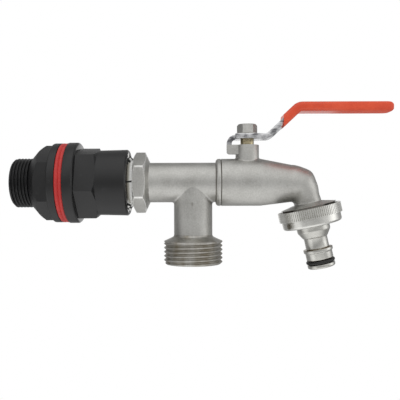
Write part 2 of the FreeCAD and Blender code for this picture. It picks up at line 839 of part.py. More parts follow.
def make_lever(stem):
    body = new_body("lever_blank")
    half = s.lever_thickness / 2
    back = stem_x - s.lever_tab_back
    tab_front = back + s.lever_thickness
    tip = stem_x + s.lever_reach
    top_first, top_second = bend_places(half)
    low_first, low_second = bend_places(-half)
    side_view = [
        (back, s.lever_tab_bottom),
        (tab_front, s.lever_tab_bottom),
        (tab_front, s.stem_seat_z),
        low_first,
        low_second,
        (tip, low_second[1]),
        (tip, top_second[1]),
        top_second,
        top_first,
        (back, lever_top),
    ]
    extrude(body, "XZ_Plane", side_view, (0, 0, -s.lever_width / 2), s.lever_width)
    inner = s.lever_bend_radius
    outer = inner + s.lever_thickness
    dress(body, "Fillet", "Radius", inner, bend_at(top_first, low_second))
    dress(body, "Fillet", "Radius", outer, bend_at(low_first, top_second))
    dress(body, "Fillet", "Radius", s.lever_curl_radius, bend_at((tab_front, s.stem_seat_z)))
    dress(body, "Fillet", "Radius", s.lever_curl_radius + s.lever_thickness, bend_at((back, lever_top)))
    height = top_second[1]
    hub_back = stem_x - s.lever_width / 2
    waist = stem_x + s.lever_waist_start
    narrow = stem_x + s.lever_waist_end
    for side in (-1, 1):
        edge = side * s.lever_width / 2
        grip = side * s.lever_grip_width / 2
        trim = [(waist, edge), (narrow, grip), (tip, grip), (tip, edge)]
        extrude(body, "XY_Plane", trim, (0, 0, height), height, "Pocket")
    left = s.lever_tab_width - s.lever_tab_edge
    for near_side, far_side in ((-s.lever_width / 2, -s.lever_tab_edge), (left, s.lever_width / 2)):
        trim = box_points(back, hub_back, near_side, far_side)
        extrude(body, "XY_Plane", trim, (0, 0, height), height, "Pocket")
    # A rib pressed along the underside stiffens the first bend and runs on under the sleeve.
    middle_first = bend_places(0)[0]
    rib_first = bend_places(-half - s.lever_rib_depth)[0]
    rib_start = rib_first[0] - s.lever_rib_lead
    rib_end = stem_x + s.sleeve_start + s.lever_rib_end
    slope = tangent(s.lever_angle)
    rib = [
        (rib_start, s.stem_seat_z),
        rib_first,
        (rib_end, rib_first[1] + (rib_end - rib_first[0]) * slope),
        (rib_end, middle_first[1] + (rib_end - middle_first[0]) * slope),
        middle_first,
        (rib_start, middle_first[1]),
    ]
    extrude(body, "XZ_Plane", rib, (0, 0, -s.lever_rib_width / 2), s.lever_rib_width)
    dress(body, "Fillet", "Radius", outer + s.lever_rib_depth, bend_at(rib_first))
    return cut("lever", body, stem)


def make_lever_sleeve(lever):
    solid = new_body("sleeve_solid")
    half = s.sleeve_thickness / 2
    tip = stem_x + s.lever_reach + s.sleeve_end_wall
    start_x = stem_x + s.sleeve_start
    slope = tangent(s.lever_angle)
    top = bend_places(half)[1]
    low = bend_places(-half)[1]
    side_view = [
        (start_x, low[1] - (low[0] - start_x) * slope),
        low,
        (tip, low[1]),
        (tip, top[1]),
        top,
        (start_x, top[1] - (top[0] - start_x) * slope),
    ]
    extrude(solid, "XZ_Plane", side_view, (0, 0, -s.sleeve_width / 2), s.sleeve_width)
    skin = (s.sleeve_thickness - s.lever_thickness) / 2
    dress(solid, "Fillet", "Radius", s.lever_bend_radius, bend_at(low))
    dress(solid, "Fillet", "Radius", s.lever_bend_radius + s.lever_thickness + 2 * skin, bend_at(top))
    dress(solid, "Fillet", "Radius", s.sleeve_tip_round, lambda edge: upright_at(edge, tip))
    edge_y = s.sleeve_width / 2
    dress(solid, "Fillet", "Radius", s.sleeve_round, lambda edge: rim_of(edge, edge_y, start_x))
    return cut("lever_sleeve", solid, lever)


def upright_at(edge, x):
    ends = [vertex.Point for vertex in edge.Vertexes]
    return len(ends) == 2 and all(near(end.x, x) for end in ends) and near(ends[0].y, ends[1].y)


def rim_of(edge, edge_y, start_x):
    # Long edges of the sleeve on both sides, and round its tip, but not its open end.
    ends = [vertex.Point for vertex in edge.Vertexes]
    if all(near(end.x, start_x) for end in ends):
        return False
    flat = near(abs(ends[0].y), edge_y) and near(abs(ends[-1].y), edge_y) and near(ends[0].y, ends[-1].y)
    tip_arc = not near(ends[0].x, ends[-1].x) and near(ends[0].z, ends[-1].z)
    across_tip = near(ends[0].x, ends[-1].x) and near(ends[0].z, ends[-1].z)
    past_bend = ends[0].x > (start_x + s.lever_reach / 2).value
    return flat or ((tip_arc or across_tip) and past_bend)


def make_lever_nut():
    body = new_body("lever_nut")
    place = {"axis": "V_Axis", "offset": (stem_x, 0, 0)}
    top = lever_top + s.lever_nut_height
    corner = s.lever_nut_flats / math.sqrt(3)
    flange_top = lever_top + s.lever_nut_flange_thickness
    flange = [
        (s.stem_thread_radius, lever_top),
        (s.lever_nut_flange_radius, lever_top),
        (s.lever_nut_flange_radius, lever_top + s.lever_nut_flange_thickness / 2),
        (s.lever_nut_flats / 2, flange_top),
        (s.stem_thread_radius, flange_top),
    ]
    turn_profile(body, flange, **place)
    sketch = add_sketch(body, "XY_Plane", (stem_x, 0, lever_top))
    draw_outline(sketch, hexagon_points(s.lever_nut_flats, 0))
    draw_circle(sketch, s.stem_thread_radius)
    add_feature(body, "Pad", sketch, Length=s.lever_nut_height)
    edge = s.lever_nut_flats / 2
    chamfer = [(edge, top), (corner, top - s.lever_nut_chamfer), (corner, top)]
    turn_profile(body, chamfer, "Groove", **place)
    return body


def make_union_nut():
    body = new_body("union_nut")
    bore = s.outlet_thread_radius + s.thread_play
    profile = [
        (s.mouth_chamfer, bore),
        (0, bore + s.mouth_chamfer),
        (0, knurl_radius),
        (knurl_length, knurl_radius),
        (knurl_length, band_radius),
        (nut_length, band_radius),
        (nut_length, nozzle_hole_radius),
        (lip_start, nozzle_hole_radius),
        (lip_start, nut_inner_radius),
        (knurl_length, nut_inner_radius),
        (knurl_length, bore),
    ]
    turn_profile(body, profile)
    dress(body, "Fillet", "Radius", s.nut_round, ring_at(nut_length, band_radius))
    half_notch = knurl_radius * math.pi * s.knurl_notch_share / s.knurl_count
    sketch = add_sketch(body, "YZ_Plane", (0, 0, 0))
    # Drawn to twice the notch's depth, where it is twice as wide.
    reach = knurl_radius + s.knurl_depth
    root = knurl_radius - s.knurl_depth
    draw_outline(sketch, [(-2 * half_notch, reach), (0, root), (2 * half_notch, reach)])
    notch = add_feature(body, "Pocket", sketch, Length=knurl_length, Reversed=True)
    pattern = body.newObject("PartDesign::PolarPattern", "knurl_pattern")
    pattern.Originals = [notch]
    pattern.Axis = (sketch, ["N_Axis"])
    pattern.Angle = 360
    pattern.Occurrences = SIZES["knurl_count"]
    bind(pattern, "Occurrences", s.knurl_count)
    body.Tip = pattern
    place_on_spout(body)
    return body


def make_hose_nozzle():
    body = new_body("hose_nozzle")
    profile = [
        (washer_end, s.nozzle_bore_radius),
        (washer_end, nozzle_flange_radius),
        (lip_start, nozzle_flange_radius),
        (lip_start, s.dome_radius),
        (dome_start, s.dome_radius),
        (dome_end, s.dome_foot_radius),
        (dome_end, s.nozzle_neck_radius),
        (click_collar_start, s.nozzle_neck_radius),
        (click_collar_start, s.bead_radius),
        (click_collar_start + s.bead_length, s.bead_radius),
        (click_collar_start + s.bead_length + s.bead_slope, s.click_collar_radius),
        (click_collar_end, s.click_collar_radius),
        (click_collar_end, s.nozzle_groove_radius),
        (tip_start, s.nozzle_groove_radius),
        (tip_start, s.tip_radius),
        (nozzle_end, s.tip_radius),
        (nozzle_end, s.nozzle_bore_radius),
    ]
    turn_profile(body, profile)
    dress(body, "Fillet", "Radius", s.tip_round, ring_at(nozzle_end, s.tip_radius))
    dress(body, "Fillet", "Radius", s.dome_round, ring_at(dome_start, s.dome_radius))
    place_on_spout(body)
    return body


def make_nozzle_o_ring():
    section = (s.click_collar_radius + s.nozzle_ring_proud - s.nozzle_groove_radius) / 2
    ring = new_primitive("Torus", "nozzle_o_ring", Radius1=s.nozzle_groove_radius + section, Radius2=section)
    place_on_spout(ring, (click_collar_end + tip_start) / 2, turn=90)
    return ring


def make_connector_washer():
    body = new_body("connector_washer")
    turn_profile(body, box_points(spout_end, washer_end, s.neck_radius - s.spout_wall, nozzle_flange_radius))
    place_on_spout(body)
    return body


stem = make_stem()
lever = make_lever(stem)
pieces = [
    make_tank_connector_body(),
    make_flange_gasket(),
    make_lock_nut(),
    make_thread_seal_tape(),
    make_inlet_tee(),
    make_tap_body(),
    make_joint_seal(),
    make_ball_seat("inlet_ball_seat", -1),
    make_ball_seat("outlet_ball_seat", 1),
    make_ball(),
    stem,
    *make_stem_seals(),
    lever,
    make_lever_sleeve(lever),
    make_lever_nut(),
    make_union_nut(),
    make_hose_nozzle(),
    make_nozzle_o_ring(),
    make_connector_washer(),
]
doc.recompute()

for thing in doc.Objects:
    if "Invalid" in thing.State or "Error" in thing.State:
        raise RuntimeError(f"{thing.Label} failed: {thing.State}")

os.makedirs("parts", exist_ok=True)
for piece in pieces:
    if not piece.Shape.isValid() or not piece.Shape.Solids:
        raise RuntimeError(f"{piece.Label} has no valid solid")
    piece.Shape.exportStep(f"parts/{piece.Label}.step")
    print(piece.Label, round(piece.Shape.Volume, 1), len(piece.Shape.Solids))
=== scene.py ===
import bpy
import bmesh
import json
import math
import numpy as np
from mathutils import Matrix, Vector


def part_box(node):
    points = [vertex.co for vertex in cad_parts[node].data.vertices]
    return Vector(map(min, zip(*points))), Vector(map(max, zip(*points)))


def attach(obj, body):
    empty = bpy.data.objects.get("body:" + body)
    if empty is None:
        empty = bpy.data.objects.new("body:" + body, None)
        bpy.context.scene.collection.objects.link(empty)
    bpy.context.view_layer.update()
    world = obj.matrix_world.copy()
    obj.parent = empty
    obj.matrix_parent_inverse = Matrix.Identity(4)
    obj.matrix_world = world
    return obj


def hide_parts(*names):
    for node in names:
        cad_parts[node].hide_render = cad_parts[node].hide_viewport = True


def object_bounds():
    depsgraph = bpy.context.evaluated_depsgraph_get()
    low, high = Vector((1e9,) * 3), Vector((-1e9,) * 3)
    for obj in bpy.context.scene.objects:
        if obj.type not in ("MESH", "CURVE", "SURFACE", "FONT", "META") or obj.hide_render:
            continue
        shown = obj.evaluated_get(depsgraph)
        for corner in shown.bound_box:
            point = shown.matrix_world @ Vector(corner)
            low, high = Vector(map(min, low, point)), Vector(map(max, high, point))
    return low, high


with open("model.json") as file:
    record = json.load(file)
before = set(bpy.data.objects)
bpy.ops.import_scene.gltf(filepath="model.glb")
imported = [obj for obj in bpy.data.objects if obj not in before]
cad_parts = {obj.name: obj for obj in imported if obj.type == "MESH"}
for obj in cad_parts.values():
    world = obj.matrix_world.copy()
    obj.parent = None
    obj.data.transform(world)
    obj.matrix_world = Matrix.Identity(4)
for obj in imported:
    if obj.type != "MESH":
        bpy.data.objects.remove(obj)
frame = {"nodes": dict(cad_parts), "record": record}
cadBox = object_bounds()
nodes = frame["nodes"]
mounts = {mount["name"]: mount for mount in frame["record"]["mounts"]}
joints = {joint["name"]: joint for joint in frame["record"]["behaviour"]["joints"]}
mm = 0.001
fullTurn = 2 * math.pi


class Value:  # one output socket: arithmetic on it adds Math nodes
    def __init__(self, bench, socket):
        self.bench = bench
        self.socket = socket

    def calc(self, operation, *others):
        inputs = dict(enumerate((self,) + others))
        return self.bench.add("ShaderNodeMath", {"operation": operation}, inputs)

    def __add__(self, other):
        return self.calc("ADD", other)

    def __mul__(self, other):
        return self.calc("MULTIPLY", other)

    def __sub__(self, other):
        return self.calc("SUBTRACT", other)

    def __rsub__(self, other):
        return self.calc("MULTIPLY", -1.0).calc("ADD", other)

    def step(self, low, high):  # eases from 0 at low to 1 at high
        settings = {"interpolation_type": "SMOOTHSTEP"}
        sockets = {"Value": self, "From Min": low, "From Max": high}
        return self.bench.add("ShaderNodeMapRange", settings, sockets)

    def near(self, width):  # 1 at zero, easing to 0 about a width away on either side
        return 1 - self.calc("ABSOLUTE").step(width * 0.4, width * 1.6)


class Bench:  # one node tree, with one way to add a node
    def __init__(self, owner):
        owner.use_nodes = True
        self.tree = owner.node_tree
        self.tree.nodes.clear()

    def add(self, kind, settings=None, sockets=None, output=0):
        node = self.tree.nodes.new(kind)
        for name, value in (settings or {}).items():
            if name == "stops":
                self.setStops(node.color_ramp, value)
            else:
                setattr(node, name, value)
        for name, value in (sockets or {}).items():
            if isinstance(value, Value):
                self.tree.links.new(value.socket, node.inputs[name])
            else:
                node.inputs[name].default_value = value
        return Value(self, node.outputs[output]) if node.outputs else None

    def setStops(self, ramp, stops):
        for stop in stops[len(ramp.elements):]:
            ramp.elements.new(stop[0])
        for element, (place, colour) in zip(ramp.elements, stops):
            element.position = place
            element.color = (*colour, 1)

    def place(self):
        return self.add("ShaderNodeTexCoord", output="Object")

    def part(self, vector, axis):
        return self.add("ShaderNodeSeparateXYZ", None, {0: vector}, output=axis)

    def vector(self, operation, first, second):
        return self.add("ShaderNodeVectorMath", {"operation": operation}, {0: first, 1: second})

    def measure(self, operation, first, second=(0, 0, 0)):  # a vector operation that gives a number
        sockets = {0: first, 1: second}
        return self.add("ShaderNodeVectorMath", {"operation": operation}, sockets, output="Value")

    def stretch(self, vector, scale):
        return self.add("ShaderNodeMapping", None, {"Vector": vector, "Scale": scale})

    def noise(self, vector, scale, detail, roughness=0.55):  # the finishes list these after the place
        sockets = {"Vector": vector, "Scale": scale, "Detail": detail, "Roughness": roughness}
        return self.add("ShaderNodeTexNoise", None, sockets)

    def tint(self, factor, first, second):
        sockets = {0: factor, 6: first, 7: second}
        return self.add("ShaderNodeMix", {"data_type": "RGBA"}, sockets, output=2)

    def painted(self, name):
        return self.add("ShaderNodeAttribute", {"attribute_name": name}, output="Fac")

    def lightPath(self, kind):
        return self.add("ShaderNodeLightPath", output=kind)

    def bump(self, height, strength, distance):
        sockets = {"Height": height, "Strength": strength, "Distance": distance}
        return self.add("ShaderNodeBump", None, sockets)

    def surface(self, **sockets):
        named = {name.replace("_", " "): value for name, value in sockets.items()}
        shader = self.add("ShaderNodeBsdfPrincipled", None, named)
        self.add("ShaderNodeOutputMaterial", None, {"Surface": shader})


def rgb(red, green, blue):
    return (red, green, blue, 1)


def metres(sizes):
    return [size * mm for size in sizes]


def blend(values, shares):
    total = values[0] * shares[0]
    for value, share in zip(values[1:], shares[1:]):
        total = total + value * share
    return total


def newFinish(name):
    material = bpy.data.materials.new(name)
    return material, Bench(material)


def addObject(name, data):
    thing = bpy.data.objects.new(name, data)
    bpy.context.scene.collection.objects.link(thing)
    return thing


# Nickel plate over blasted brass: speckled grain, soft cloudy changes of gloss. Dirt lies brown on the
# threads and dark in the seams, each given by its place along the pipe and its width, in millimetres
blastedNickel = {
    "light": rgb(0.60, 0.595, 0.57), "dark": rgb(0.435, 0.43, 0.405), "spread": (0.30, 0.70),
    "cloud": (110, 4.0), "speckle": (1150, 2.0, 0.6), "grain": (2600, 2.0), "mix": (0.4, 0.4, 0.2),
    "gloss": 0.34, "uneven": (0.12, 0.08), "relief": (0.7, 0.3), "bump": (0.27, 0.00006),
    "dirtShadeAndReflection": rgb(0.27, 0.235, 0.175), "smear": (230, 4.0), "smearStretch": (1.0, 1.0, 0.3),
    "dirtMix": (0.16, 0.9), "dirtSpread": (0.20, 0.91),
    "grimeAndShade": rgb(0.10, 0.08, 0.055), "seams": [(82.2, 0.3), (85.2, 0.25)], "seamFoot": (-22, -18),
    "seamPatch": (0.3, 0.6), "seamGrime": 0.7,
}

# Edges of the tee's hexagon, given a painted highlight: ends of the hexagon along the pipe, half its width
# over flats, its chamfer. The dent is on the front of the branch and is painted darker; dentNarrow is one
# over its half sizes, in metres
hexagonHighlightAndDent = {
    "from": 36.3, "to": 43.3, "flat": 15.0, "chamfer": 1.1, "round": 0.2, "strip": 0.3,
    "edge": (0.3, 0.9), "fade": 0.1, "bright": rgb(0.95, 0.945, 0.92), "mix": (0.6, 0.4),
    "spread": (0.3, 0.6), "most": 0.85, "polish": 0.1,
    "dent": (69.0, -10.9, -12.3), "dentNarrow": (1900, 500, 750), "dentFade": (0.5, 1.3),
    "dentDarkening": 0.4, "dentDepth": 4.0,
}


def edgeHighlightMask(bench, place, spec):
    # painted highlight mask: near the corners by distance from the pipe's axis, near the chamfers by distance
    # from their cones
    radius = bench.measure("LENGTH", bench.vector("MULTIPLY", place, (0, 1 / mm, 1 / mm)))
    along = bench.part(place, "X") * (1 / mm)
    corner = spec["flat"] / math.cos(math.pi / 6)
    slope = (corner - spec["flat"]) / spec["chamfer"]
    edgeHighlight = radius.step(corner - spec["round"] - spec["strip"], corner - spec["round"])
    for distance in (along - spec["from"], spec["to"] - along):
        cone = (radius - distance * slope - spec["flat"]).calc("ABSOLUTE")
        edgeHighlight = edgeHighlight.calc("MAXIMUM", 1 - cone.step(*spec["edge"]))
    begun = along.step(spec["from"] - spec["fade"], spec["from"])
    ended = along.step(spec["to"], spec["to"] + spec["fade"])
    return edgeHighlight * begun * (1 - ended)


def makeBlastedNickel(name, spec, threaded, highlightAndDent=None):
    material, bench = newFinish(name)
    place = bench.place()
    cloud = bench.noise(place, *spec["cloud"])
    speckle = bench.noise(place, *spec["speckle"])
    grain = bench.noise(place, *spec["grain"])
    pale = blend((cloud, speckle, grain), spec["mix"]).step(*spec["spread"])
    colour = bench.tint(pale, spec["dark"], spec["light"])
    roughness = blend((cloud, speckle), spec["uneven"]) + spec["gloss"]
    height = blend((speckle, grain), spec["relief"])
    if threaded:
        smear = bench.noise(bench.stretch(place, spec["smearStretch"]), *spec["smear"])
        dirty = blend((bench.painted("hollow"), smear), spec["dirtMix"]).step(*spec["dirtSpread"])
        colour = bench.tint(dirty, colour, spec["dirtShadeAndReflection"])
    else:
        along = bench.part(place, "X")
        onPipe = bench.part(place, "Z").step(*metres(spec["seamFoot"]))
        for seam, width in spec["seams"]:
            lined = (along - seam * mm).near(width * mm) * onPipe * cloud.step(*spec["seamPatch"])
            colour = bench.tint(lined * spec["seamGrime"], colour, spec["grimeAndShade"])
    if highlightAndDent:
        # the dent is painted darker and bumped in
        offset = bench.vector("SUBTRACT", place, metres(highlightAndDent["dent"]))
        offset = bench.vector("MULTIPLY", offset, highlightAndDent["dentNarrow"])
        dent = 1 - bench.measure("LENGTH", offset).step(*highlightAndDent["dentFade"])
        colour = bench.tint(dent * highlightAndDent["dentDarkening"], colour, spec["grimeAndShade"])
        height = height - dent * highlightAndDent["dentDepth"]
        # painted highlight along the hexagon's edges, in patches
        patchy = blend((cloud, speckle), highlightAndDent["mix"]).step(*highlightAndDent["spread"]) * highlightAndDent["most"]
        edgeHighlight = edgeHighlightMask(bench, place, highlightAndDent) * patchy
        colour = bench.tint(edgeHighlight, colour, highlightAndDent["bright"])
        roughness = roughness - edgeHighlight * highlightAndDent["polish"]
    bench.surface(Base_Color=colour, Metallic=1.0, Roughness=roughness,
                  Normal=bench.bump(height, *spec["bump"]))
    return material


# Turned and plated: bright, fine rings around the spout's axis, painted shade as brown lines in the corners
# and in the knurl's valleys, and a painted reflection as a brown spot on the nut. The corners and the knurl
# are given by their distance from the spout's mouth, in millimetres
turnedNickel = {
    "light": rgb(0.63, 0.625, 0.59), "dark": rgb(0.53, 0.525, 0.49), "spread": (0.36, 0.64),
    "cloud": (140, 3.0), "rings": 1500, "speckle": (1150, 2.0), "mix": (0.4, 0.3, 0.3),
    "gloss": 0.18, "uneven": (0.1, 0.08), "relief": (0.6, 0.4), "bump": (0.14, 0.00003),
    "dirtShadeAndReflection": rgb(0.16, 0.125, 0.075), "corners": [(23.5, 0.35), (29.8, 0.3)], "cornerPatch": (0.3, 0.6),
    "knurl": (0.1, 5.4), "knurlFade": 0.1, "wall": (16.5, 16.8), "valley": (17.6, 17.82),
    "valleyShade": 0.07,
    "reflectionSpot": (122.6, -8.0, -25.1), "reflectionSpotFade": (1.1, 2.2), "reflectionSpotDark": 0.75,
}
# The union nut's copy is painted paler, painted light that offsets the shade in its knurl
knurledNickel = {**turnedNickel, "light": rgb(0.77, 0.765, 0.73), "dark": rgb(0.66, 0.655, 0.62)}


def makeTurnedNickel(name, spec, axis, mouth):
    material, bench = newFinish(name)
    place = bench.place()
    along = bench.measure("DOT_PRODUCT", place, axis)
    past = along - float(np.dot(mouth, axis))
    cloud = bench.noise(place, *spec["cloud"])
    ringSockets = {"W": along, "Scale": spec["rings"]}
    rings = bench.add("ShaderNodeTexNoise", {"noise_dimensions": "1D"}, ringSockets)
    speckle = bench.noise(place, *spec["speckle"])
    pale = blend((cloud, rings, speckle), spec["mix"]).step(*spec["spread"])
    colour = bench.tint(pale, spec["dark"], spec["light"])
    # painted shade: brown lines in the corners
    for distance, width in spec["corners"]:
        lined = (past - distance * mm).near(width * mm) * cloud.step(*spec["cornerPatch"])
        colour = bench.tint(lined, colour, spec["dirtShadeAndReflection"])
    # painted shade in the knurl's valleys, down in their roots
    reach = bench.measure("DISTANCE", place, mouth)
    radius = (reach * reach - past * past).calc("SQRT")
    low, high = spec["knurl"]
    begun = past.step(*metres((low - spec["knurlFade"], low)))
    ended = past.step(*metres((high, high + spec["knurlFade"])))
    outside = radius.step(*metres(spec["wall"]))
    valley = (1 - radius.step(*metres(spec["valley"]))) * begun * (1 - ended) * outside
    colour = bench.tint(valley * spec["valleyShade"], colour, spec["dirtShadeAndReflection"])
    # painted reflection: a dark brown spot low on the nut's left
    away = bench.measure("DISTANCE", place, metres(spec["reflectionSpot"]))
    reflectionSpot = 1 - away.step(*metres(spec["reflectionSpotFade"]))
    colour = bench.tint(reflectionSpot * spec["reflectionSpotDark"], colour, spec["dirtShadeAndReflection"])
    roughness = blend((cloud, rings), spec["uneven"]) + spec["gloss"]
    height = blend((rings, speckle), spec["relief"])
    bench.surface(Base_Color=colour, Metallic=1.0, Roughness=roughness,
                  Normal=bench.bump(height, *spec["bump"]))
    return material


# Painted shade in the groove behind the spout's thread, left pale at the front, where the nut's mouth half
# covers it. Left and right are shares of the radius, front is in millimetres
spoutGrooveShade = {
    "dark": rgb(0.018, 0.014, 0.010), "light": rgb(0.075, 0.060, 0.042), "spread": (0.35, 0.7),
    "clump": (700, 4.0), "paleFront": rgb(0.42, 0.41, 0.38), "radius": 14.9, "left": (-0.74, -0.6),
    "right": (0.33, 0.46), "front": (-4.0, 0.0), "gloss": 0.45, "uneven": 0.2, "bump": (0.2, 0.0001),
}


def makeSpoutGrooveShade(spec, axis, mouth):
    material, bench = newFinish("spoutGrooveShade")
    place = bench.place()
    clump = bench.noise(place, *spec["clump"])
    # painted shade: near-black, in clumps
    colour = bench.tint(clump.step(*spec["spread"]), spec["dark"], spec["light"])
    across = np.cross(axis, (0.0, 1.0, 0.0))
    side = bench.measure("DOT_PRODUCT", place, across) - float(np.dot(mouth, across))
    side = side * (1 / (spec["radius"] * mm))
    front = 1 - bench.part(place, "Y").step(*metres(spec["front"]))
    paleFront = side.step(*spec["left"]) * (1 - side.step(*spec["right"])) * front
    bench.surface(Base_Color=bench.tint(paleFront, colour, spec["paleFront"]), Metallic=paleFront,
                  Roughness=clump * spec["uneven"] + spec["gloss"],
                  Normal=bench.bump(clump, *spec["bump"]))
    return material


# Moulded black plastic: satin, a little paler where it is scuffed, shiny on the flange's right face
blackPlastic = {
    "deep": rgb(0.006, 0.006, 0.0065), "scuffed": rgb(0.016, 0.016, 0.0165), "scuff": (220, 5.0, 0.7),
    "scuffStretch": (1.0, 2.4, 1.0), "worn": (0.56, 0.74), "grain": (1600, 3.0), "gloss": 0.30,
    "uneven": (0.14, 0.12), "shinyFace": 5.6, "shinyWidth": 0.25, "shine": 0.34, "bump": (0.25, 0.00005),
}


def makeBlackPlastic(spec):
    material, bench = newFinish("blackPlastic")
    place = bench.place()
    grain = bench.noise(place, *spec["grain"])
    scuff = bench.noise(bench.stretch(place, spec["scuffStretch"]), *spec["scuff"])
    worn = scuff.step(*spec["worn"])
    shiny = (bench.part(place, "X") - spec["shinyFace"] * mm).near(spec["shinyWidth"] * mm)
    roughness = blend((worn, grain), spec["uneven"]) + spec["gloss"] - shiny * spec["shine"]
    bench.surface(Base_Color=bench.tint(worn, spec["deep"], spec["scuffed"]), Roughness=roughness,
                  Normal=bench.bump(grain, *spec["bump"]))
    return material


# Finishes of two noises, a fine one that may be stretched into streaks and a broad one
speckled = {"stretch": (1, 1, 1), "fine": (900, 4.0, 0.65), "broad": (100, 3.0), "mix": (0.5, 0.5),
            "spread": (0.36, 0.66), "metal": 0.0, "uneven": (0.16, 0.1), "bump": (0.2, 0.00008)}
mottledFinishes = {
    "redRubber": {**speckled, "dark": rgb(0.46, 0.016, 0.014), "light": rgb(0.58, 0.036, 0.03),
                  "gloss": 0.33},
    "blackRubber": {**speckled, "dark": rgb(0.005, 0.005, 0.005), "light": rgb(0.012, 0.012, 0.011),
                    "gloss": 0.27},
    "whitePlastic": {**speckled, "dark": rgb(0.74, 0.74, 0.71), "light": rgb(0.86, 0.86, 0.84),
                     "gloss": 0.29, "fine": (500, 4.0, 0.65), "broad": (500 / 9, 3.0)},
    # zinc on steel strip: bright, with dark and pale rolling streaks along the lever
    "zincSteel": {"dark": rgb(0.17, 0.17, 0.18), "light": rgb(0.80, 0.80, 0.81), "stretch": (0.16, 0.5, 0.9),
                  "fine": (900, 3.0, 0.6), "broad": (170, 3.0), "mix": (0.45, 0.55), "spread": (0.38, 0.58),
                  "metal": 1.0, "uneven": (0.16, 0.1), "gloss": 0.10, "bump": (0.35, 0.00008)},
    # dipped sleeve: soft gloss, a faint orange-peel skin, dulled by hands toward its end
    "redSleeve": {"dark": rgb(0.66, 0.060, 0.018), "light": rgb(0.78, 0.088, 0.028), "stretch": (1, 1, 1),
                  "fine": (300, 2.0), "broad": (60, 4.0), "mix": (0.3, 0.7), "spread": (0.36, 0.66),
                  "metal": 0.0, "uneven": (0.08, 0.12), "gloss": 0.16, "bump": (0.18, 0.0001),
                  "handled": (146, 158), "dulled": 0.36},
    # bare brass: turned, dulled by handling
    "bareBrass": {"dark": rgb(0.40, 0.34, 0.21), "light": rgb(0.62, 0.54, 0.36), "stretch": (0.05, 0.05, 1.0),
                  "fine": (2200, 3.0), "broad": (400, 4.0), "mix": (0.5, 0.5), "spread": (0.36, 0.66),
                  "metal": 1.0, "uneven": (0.1, 0.16), "gloss": 0.18, "bump": (0.2, 0.00003)},
    "polishedChrome": {"dark": rgb(0.66, 0.66, 0.67), "light": rgb(0.78, 0.78, 0.79), "stretch": (1, 1, 1),
                       "fine": (300, 4.0), "broad": (60, 4.0), "mix": (1.0, 0.0), "spread": (0.35, 0.65),
                       "metal": 1.0, "uneven": (0.1, 0.0), "gloss": 0.05, "bump": (0.0, 0.0001)},
}


def makeMottledFinish(name, spec):
    material, bench = newFinish(name)
    place = bench.place()
    fine = bench.noise(bench.stretch(place, spec["stretch"]), *spec["fine"])
    broad = bench.noise(place, *spec["broad"])
    pale = blend((fine, broad), spec["mix"]).step(*spec["spread"])
    roughness = blend((fine, broad), spec["uneven"]) + spec["gloss"]
    if "handled" in spec:
        roughness = roughness + bench.part(place, "X").step(*metres(spec["handled"])) * spec["dulled"]
    bench.surface(Base_Color=bench.tint(pale, spec["dark"], spec["light"]), Metallic=spec["metal"],
                  Roughness=roughness, Normal=bench.bump(fine, *spec["bump"]))
    return material


# Thread tape: painted shade from a dark shadow line at the socket up to a painted highlight and a pale edge
# at the hexagon, white where it stands up, black painted shadow where it is torn. The stops are shares of the
# gap
threadTape = {
    "white": rgb(0.93, 0.93, 0.91), "tornShadow": rgb(0.010, 0.010, 0.009), "tornShadowFade": (0.3, 0.7),
    "stops": [(0.0, (0.03, 0.025, 0.018)), (0.14, (0.24, 0.22, 0.175)), (0.36, (0.45, 0.44, 0.385)),
              (0.54, (0.76, 0.75, 0.71)), (0.66, (0.96, 0.96, 0.94)), (0.92, (0.96, 0.96, 0.94)),
              (1.0, (0.62, 0.62, 0.59))],
    "streak": (1500, 4.0), "streakStretch": (1.0, 0.25, 0.25), "waver": 0.12, "gloss": 0.26, "uneven": 0.2,
    "bump": (0.3, 0.0001),
}


def makeThreadTape(spec, socketEnd, hexStart):
    material, bench = newFinish("threadTape")
    place = bench.place()
    streak = bench.noise(bench.stretch(place, spec["streakStretch"]), *spec["streak"])
    share = (bench.part(place, "X") - socketEnd) * (1 / (hexStart - socketEnd))
    share = share + (streak - 0.5) * spec["waver"]
    # the ramp paints shade across the gap: a shadow line at the socket, a highlight near the hexagon
    colour = bench.add("ShaderNodeValToRGB", {"stops": spec["stops"]}, {0: share})
    colour = bench.tint(bench.painted("raised"), colour, spec["white"])
    # painted shadow: black in the split and along the tears
    colour = bench.tint(bench.painted("hollow").step(*spec["tornShadowFade"]), colour, spec["tornShadow"])
    bench.surface(Base_Color=colour, Roughness=streak * spec["uneven"] + spec["gloss"],
                  Normal=bench.bump(streak, *spec["bump"]))
    return material


spoutAxis = np.array(mounts["hose_nozzle"]["axis"])
spoutMouth = joints["union_nut_turn"]["pos_m"]
socketEnd = float(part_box("tank_connector_body")[1][0])
finishes = {
    "blastedNickel": makeBlastedNickel("blastedNickel", blastedNickel, False),
    "threadedNickel": makeBlastedNickel("threadedNickel", blastedNickel, True),
    "edgeHighlitNickel": makeBlastedNickel("edgeHighlitNickel", blastedNickel, False, hexagonHighlightAndDent),
    "turnedNickel": makeTurnedNickel("turnedNickel", turnedNickel, tuple(spoutAxis), spoutMouth),
    "knurledNickel": makeTurnedNickel("knurledNickel", knurledNickel, tuple(spoutAxis), spoutMouth),
    "blackPlastic": makeBlackPlastic(blackPlastic),
    "threadTape": makeThreadTape(threadTape, socketEnd, float(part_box("thread_seal_tape")[1][0])),
    "spoutGrooveShade": makeSpoutGrooveShade(spoutGrooveShade, spoutAxis, spoutMouth),
}
for name, spec in mottledFinishes.items():
    finishes[name] = makeMottledFinish(name, spec)
print("finishes made:", len(finishes))

